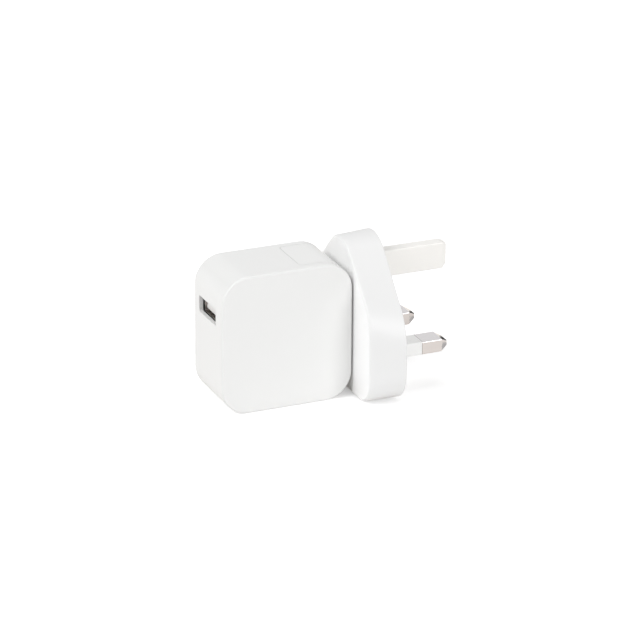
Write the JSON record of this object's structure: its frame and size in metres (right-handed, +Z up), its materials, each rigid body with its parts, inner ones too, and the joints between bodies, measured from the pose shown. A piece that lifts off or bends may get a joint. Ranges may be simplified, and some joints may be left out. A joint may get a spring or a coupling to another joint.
{
  "type": "usb charger plug",
  "caption": "White plug-in mains charger: a rounded square case with a USB-A socket in one end, and a flared rectangular-pin plug head that slides up off the other end.",
  "frame": {"origin": "on the plug face, midway between the live and neutral pins", "axes": "+X out along the plug pins, +Z up towards the earth pin, +Y towards the rear cover"},
  "size_m": [0.0726, 0.0476, 0.0454],
  "materials": {
    "case_white": "gloss",
    "head_white": "gloss",
    "earth_white": "satin",
    "sleeve_white": "satin",
    "pin_nickel": "nickel plated",
    "contact_brass": "bare",
    "contact_gold": "gold plated",
    "stud_steel": "turned",
    "usb_steel": "satin",
    "usb_white": "matte",
    "inlet_grey": "matte",
    "board": "solder mask",
    "ferrite": "sintered",
    "bobbin": "matte",
    "tape": "film",
    "can": "drawn",
    "chip": "matte",
    "disc": "dipped"
  },
  "bodies": {
    "charger": {"case_body": "case_white", "rear_cover": "case_white", "locking_stud": "stud_steel", "inlet_block": "inlet_grey", "inlet_pin_live": "contact_brass", "inlet_pin_neutral": "contact_brass", "usb_shell": "usb_steel", "usb_insulator": "usb_white", "main_board": "board", "usb_board": "board", "transformer_core": "ferrite", "transformer_bobbin": "bobbin", "transformer_winding": "tape", "bulk_capacitor_front": "can", "bulk_capacitor_rear": "can", "output_capacitors": "can", "line_choke": "ferrite", "output_choke": "ferrite", "fuse": "bobbin", "y_capacitor": "disc", "controller_chip": "chip", "bridge_rectifier": "chip", "switching_transistor": "chip", "output_rectifier": "chip", "optocoupler": "chip", "inlet_strip_live": "contact_brass", "inlet_strip_neutral": "contact_brass", "usb_contacts": "contact_gold"},
    "plug_head": {"head_shell": "head_white", "base_plate": "head_white", "live_pin": "pin_nickel", "neutral_pin": "pin_nickel", "live_sleeve": "sleeve_white", "neutral_sleeve": "sleeve_white", "earth_pin": "earth_white", "live_strap": "contact_brass", "neutral_strap": "contact_brass", "live_socket": "contact_brass", "neutral_socket": "contact_brass"}
  },
  "joints": [
    {"name": "plug_head_slide", "type": "slide", "parent": "charger", "child": "plug_head", "axis": [0, 0, 1], "range_m": [0, 0.03]}
  ]
}
